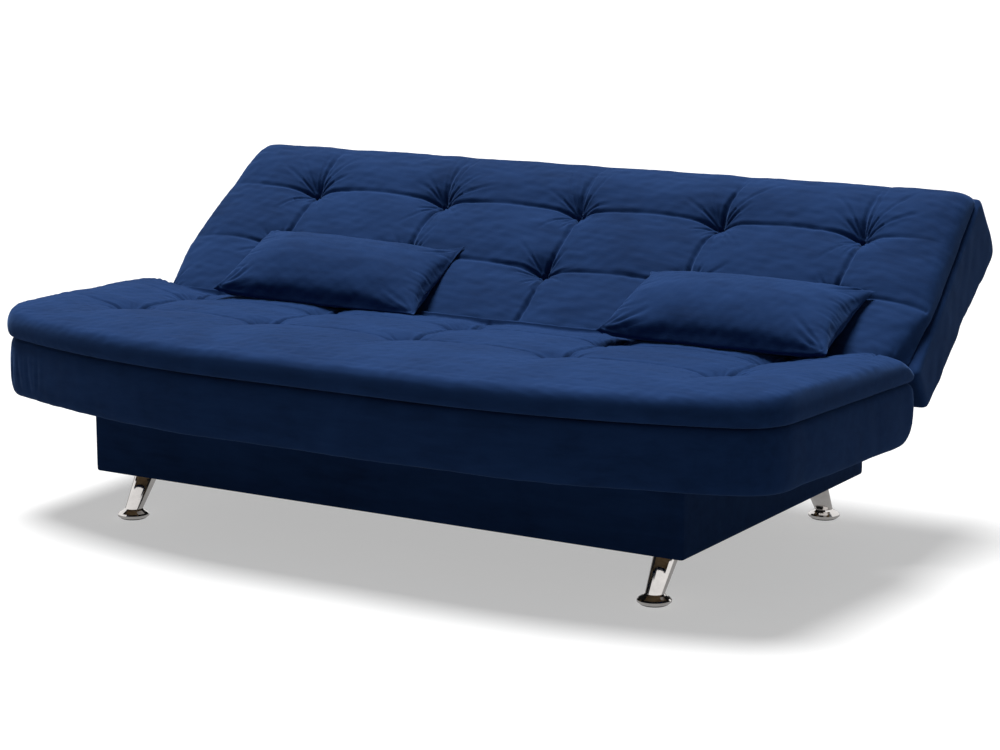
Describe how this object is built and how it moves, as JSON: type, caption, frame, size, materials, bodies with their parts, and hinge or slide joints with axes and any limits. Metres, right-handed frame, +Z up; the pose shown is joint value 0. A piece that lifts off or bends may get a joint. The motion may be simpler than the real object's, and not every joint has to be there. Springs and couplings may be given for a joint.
{
  "type": "sofa bed",
  "caption": "Three-position sofa bed: tufted bow-fronted seat fixed on an upholstered box base with conical metal legs, and a tufted back on ratchet hinges, with loose lumbar pillows.",
  "frame": {"origin": "on the floor, under the middle of the object's bounding box with the back in its middle position", "axes": "+Z up, the seat's front faces -Y, +X runs along the seat to the sitter's left, which is the right-hand end seen from the front"},
  "size_m": [1.895, 1.197, 0.7182],
  "materials": {
    "navy_velvet": "short-pile suede-like velvet over foam, matt with a soft sheen",
    "pine": "raw sawn boards",
    "hardboard": "raw hardboard",
    "black_lining": "non-woven lining on thin board",
    "chrome": "polished",
    "black_plastic": "moulded",
    "zinc_steel": "zinc plated"
  },
  "bodies": {
    "frame": {"base_bottom_panel": "black_lining", "base_centre_brace": "pine", "base_cover_front": "navy_velvet", "base_cover_left": "navy_velvet", "base_cover_rear": "navy_velvet", "base_cover_right": "navy_velvet", "base_front_rail": "pine", "base_left_rail": "pine", "base_rear_rail": "pine", "base_right_rail": "pine", "base_top_panel": "black_lining", "corner_block_front_left": "pine", "corner_block_front_right": "pine", "corner_block_rear_left": "pine", "corner_block_rear_right": "pine", "foot_glide_front_left": "black_plastic", "foot_glide_front_right": "black_plastic", "foot_glide_rear_left": "black_plastic", "foot_glide_rear_right": "black_plastic", "leg_front_left": "chrome", "leg_front_right": "chrome", "leg_rear_left": "chrome", "leg_rear_right": "chrome", "pawl_spring_left": "zinc_steel", "pawl_spring_right": "zinc_steel", "pivot_bolt_left": "zinc_steel", "pivot_bolt_right": "zinc_steel", "seat_arm_left": "zinc_steel", "seat_arm_right": "zinc_steel", "seat_border_front": "navy_velvet", "seat_border_left": "navy_velvet", "seat_border_rear": "navy_velvet", "seat_border_right": "navy_velvet", "seat_bottom_panel": "black_lining", "seat_centre_brace": "pine", "seat_cushion": "navy_velvet", "seat_deck": "hardboard", "seat_front_rail": "pine", "seat_front_rail_left": "pine", "seat_front_rail_right": "pine", "seat_rear_rail": "pine", "seat_side_rail_left": "pine", "seat_side_rail_right": "pine"},
    "back": {"back_arm_left": "zinc_steel", "back_arm_right": "zinc_steel", "back_bottom_rail": "pine", "back_centre_brace": "pine", "back_cushion": "navy_velvet", "back_deck": "hardboard", "back_rear_panel": "navy_velvet", "back_side_panel_left": "navy_velvet", "back_side_panel_right": "navy_velvet", "back_side_rail_left": "pine", "back_side_rail_right": "pine", "back_top_panel": "navy_velvet", "back_top_rail": "pine"},
    "pawl_left": {"ratchet_pawl_left": "zinc_steel"},
    "pawl_right": {"ratchet_pawl_right": "zinc_steel"},
    "pillow_left": {"pillow_left": "navy_velvet"},
    "pillow_right": {"pillow_right": "navy_velvet"}
  },
  "joints": [
    {"name": "back_recline", "type": "hinge", "parent": "frame", "child": "back", "pos_m": [0, 0.1415, 0.32], "axis": [1, 0, 0], "range_deg": [-38.26, 32]},
    {"name": "pawl_left_swing", "type": "hinge", "parent": "frame", "child": "pawl_left", "pos_m": [-0.868, 0.0955, 0.283], "axis": [1, 0, 0], "range_deg": [-14, 8], "stiffness_Nm_per_rad": 0.08, "springref_deg": 17.19},
    {"name": "pawl_right_swing", "type": "hinge", "parent": "frame", "child": "pawl_right", "pos_m": [0.868, 0.0955, 0.283], "axis": [1, 0, 0], "range_deg": [-14, 8], "stiffness_Nm_per_rad": 0.08, "springref_deg": 17.19},
    {"name": "pillow_left_push", "type": "slide", "parent": "frame", "child": "pillow_left", "axis": [0, 1, 0], "range_m": [-0.115, 0.137]},
    {"name": "pillow_right_push", "type": "slide", "parent": "frame", "child": "pillow_right", "axis": [0, 1, 0], "range_m": [-0.115, 0.137]}
  ],
  "couplings": [
    {"joint": "pillow_left_push", "follows": "back_recline", "m_per_rad": -0.2},
    {"joint": "pillow_right_push", "follows": "back_recline", "m_per_rad": -0.2}
  ]
}
